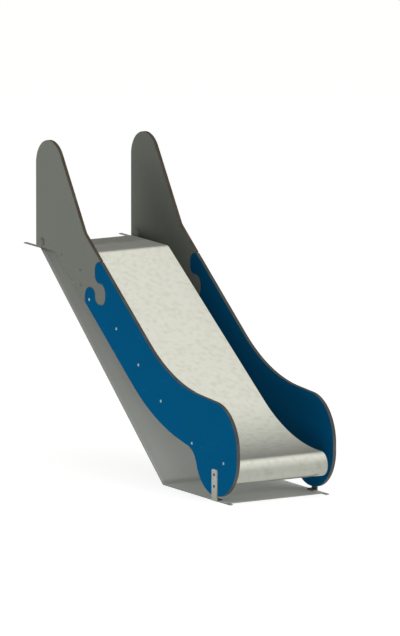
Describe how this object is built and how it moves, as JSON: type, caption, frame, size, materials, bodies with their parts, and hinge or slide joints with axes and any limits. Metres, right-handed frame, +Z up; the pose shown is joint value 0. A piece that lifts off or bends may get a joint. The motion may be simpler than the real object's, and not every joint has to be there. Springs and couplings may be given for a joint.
{
  "type": "embankment slide",
  "caption": "Playground slide for a grass bank: stainless steel chute between board side panels with tall ear guards, on a steel base that follows the slope.",
  "frame": {"origin": "on the underside of the foot sheet at ground level, midway between the two foot brackets", "axes": "+X across the slide to its right side seen from the run-out end, +Y back up the bank towards the platform, +Z up"},
  "size_m": [0.719, 2.5574, 1.9177],
  "materials": {
    "blue_board": "satin blue laminate on a brown board",
    "grey_board": "satin grey laminate on a brown board",
    "chute_steel": "ground stainless sheet, lightly soiled",
    "base_steel": "dull grey primed sheet",
    "galvanised_steel": "dull galvanised",
    "screw_steel": "plain stainless"
  },
  "bodies": {
    "root": {"chute": "chute_steel", "foot_sheet": "base_steel", "left_base_rail": "base_steel", "left_bracket_bolt_1": "screw_steel", "left_bracket_bolt_2": "screw_steel", "left_chute_bolt_1": "screw_steel", "left_chute_bolt_2": "screw_steel", "left_chute_bolt_3": "screw_steel", "left_chute_bolt_4": "screw_steel", "left_chute_bolt_5": "screw_steel", "left_chute_bolt_6": "screw_steel", "left_chute_bolt_7": "screw_steel", "left_ear_bolt": "galvanised_steel", "left_foot_bracket": "galvanised_steel", "left_lower_panel": "blue_board", "left_splice_bolt_1": "screw_steel", "left_splice_bolt_2": "screw_steel", "left_splice_plate": "galvanised_steel", "left_upper_panel": "grey_board", "right_base_rail": "base_steel", "right_bracket_bolt_1": "screw_steel", "right_bracket_bolt_2": "screw_steel", "right_chute_bolt_1": "screw_steel", "right_chute_bolt_2": "screw_steel", "right_chute_bolt_3": "screw_steel", "right_chute_bolt_4": "screw_steel", "right_chute_bolt_5": "screw_steel", "right_chute_bolt_6": "screw_steel", "right_chute_bolt_7": "screw_steel", "right_ear_bolt": "galvanised_steel", "right_foot_bracket": "galvanised_steel", "right_lower_panel": "blue_board", "right_splice_bolt_1": "screw_steel", "right_splice_bolt_2": "screw_steel", "right_splice_plate": "galvanised_steel", "right_upper_panel": "grey_board", "slope_sheet": "base_steel"}
  },
  "joints": []
}
